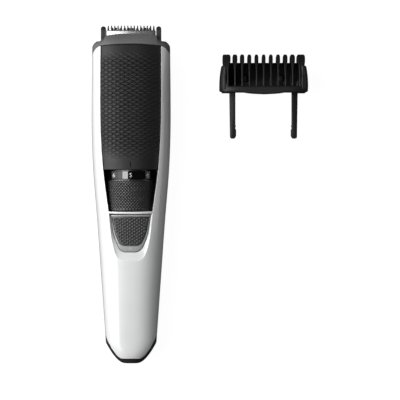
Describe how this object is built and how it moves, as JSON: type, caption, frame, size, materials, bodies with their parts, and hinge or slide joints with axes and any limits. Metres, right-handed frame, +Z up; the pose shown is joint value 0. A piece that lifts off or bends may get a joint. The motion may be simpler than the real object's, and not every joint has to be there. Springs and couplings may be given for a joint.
{
  "type": "beard trimmer",
  "caption": "Cordless beard trimmer lying on its back, with a numbered length dial and power button, and its detached guide comb beside it.",
  "frame": {"origin": "middle of the flat strip on the trimmer's back, on the surface it lies on", "axes": "+Y from the bottom end towards the cutting head, +Z up out of the front face, +X across towards the comb"},
  "size_m": [0.1147, 0.1787, 0.0324],
  "materials": {
    "shell_white": "glossy white moulded plastic",
    "shell_black": "fine matte black moulded plastic",
    "grip": "dark grey grippy plastic",
    "collar_grey": "satin dark grey plastic",
    "button_grey": "satin grey plastic",
    "gloss_black": "polished black plastic with white numerals",
    "clear_plastic": "clear moulded plastic",
    "natural_plastic": "uncoloured nylon",
    "seal_rubber": "soft black rubber",
    "board_green": "glass-fibre circuit board",
    "component_black": "black component plastic",
    "cell_wrap": "heat-shrink sleeve on the cell",
    "comb_black": "satin black moulded plastic",
    "blade_steel": "ground stainless steel",
    "spring_steel": "spring wire and pins",
    "plated_metal": "plated steel",
    "contact_brass": "plated brass contacts"
  },
  "bodies": {
    "casing": {"front_shell": "shell_white", "rear_shell": "shell_black", "end_cap": "shell_black", "grip_panel": "grip", "collar": "collar_grey", "detent_spring": "spring_steel", "lower_chassis": "natural_plastic", "motor_mount": "natural_plastic", "battery_cell": "cell_wrap", "battery_tab_positive": "plated_metal", "battery_tab_negative": "plated_metal", "circuit_board": "board_green", "switch_base": "component_black", "charge_led": "clear_plastic", "charge_coil": "component_black", "drive_chip": "component_black", "capacitor": "plated_metal", "charging_socket": "component_black", "socket_pin_left": "contact_brass", "socket_pin_right": "contact_brass", "motor_can": "plated_metal", "motor_end_bell": "natural_plastic", "motor_terminal_left": "contact_brass", "motor_terminal_right": "contact_brass", "drive_seal": "seal_rubber", "chassis_screw_1": "plated_metal", "mount_screw_1": "plated_metal", "chassis_screw_2": "plated_metal", "mount_screw_2": "plated_metal", "chassis_screw_3": "plated_metal", "mount_screw_3": "plated_metal", "chassis_screw_4": "plated_metal", "mount_screw_4": "plated_metal"},
    "head": {"head_frame": "shell_black", "guard_blade": "blade_steel", "cutter_spring": "spring_steel"},
    "cutter": {"cutter_blade": "blade_steel", "cutter_carrier": "natural_plastic"},
    "bridge": {"drive_bridge": "natural_plastic"},
    "rotor": {"motor_shaft": "spring_steel", "eccentric": "natural_plastic"},
    "dial": {"length_dial": "grip", "scale_ring": "gloss_black"},
    "carriage": {"comb_carriage": "natural_plastic", "cam_follower_pin": "spring_steel"},
    "button": {"button_frame": "button_grey", "button_pad": "grip", "light_pipe": "clear_plastic"},
    "plunger": {"switch_plunger": "natural_plastic"},
    "comb": {"guide_comb": "comb_black"}
  },
  "joints": [
    {"name": "dial_turn", "type": "hinge", "parent": "casing", "child": "dial", "pos_m": [0, 0.015, 0.0171], "axis": [0, 1, 0], "range_deg": [-162, 180]},
    {"name": "carriage_slide", "type": "slide", "parent": "casing", "child": "carriage", "axis": [0, 1, 0], "range_m": [-0.0046, 0.0051]},
    {"name": "button_press", "type": "slide", "parent": "casing", "child": "button", "axis": [0, 0, -1], "range_m": [0, 0.0008], "stiffness_N_per_m": 1200, "springref_m": -0.0004},
    {"name": "plunger_press", "type": "slide", "parent": "casing", "child": "plunger", "axis": [0, 0, -1], "range_m": [0, 0.00065]},
    {"name": "motor_spin", "type": "hinge", "parent": "casing", "child": "rotor", "pos_m": [0, 0.07, 0.0171], "axis": [0, 1, 0], "continuous": true},
    {"name": "bridge_slide", "type": "slide", "parent": "casing", "child": "bridge", "axis": [1, 0, 0], "range_m": [-0.0012, 0.0012]},
    {"name": "head_tilt", "type": "hinge", "parent": "casing", "child": "head", "pos_m": [0, 0.0912, 0.0067], "axis": [-1, 0, 0], "range_deg": [0, 50]},
    {"name": "cutter_slide", "type": "slide", "parent": "head", "child": "cutter", "axis": [1, 0, 0], "range_m": [-0.0012, 0.0012]},
    {"name": "comb_lift", "type": "slide", "parent": "casing", "child": "comb", "axis": [0, 0, 1], "range_m": [0, 0.05]}
  ],
  "couplings": [
    {"joint": "carriage_slide", "follows": "dial_turn", "m_per_rad": 0.0015915},
    {"joint": "plunger_press", "follows": "button_press", "ratio": 0.8},
    {"joint": "cutter_slide", "follows": "bridge_slide", "ratio": 1}
  ]
}
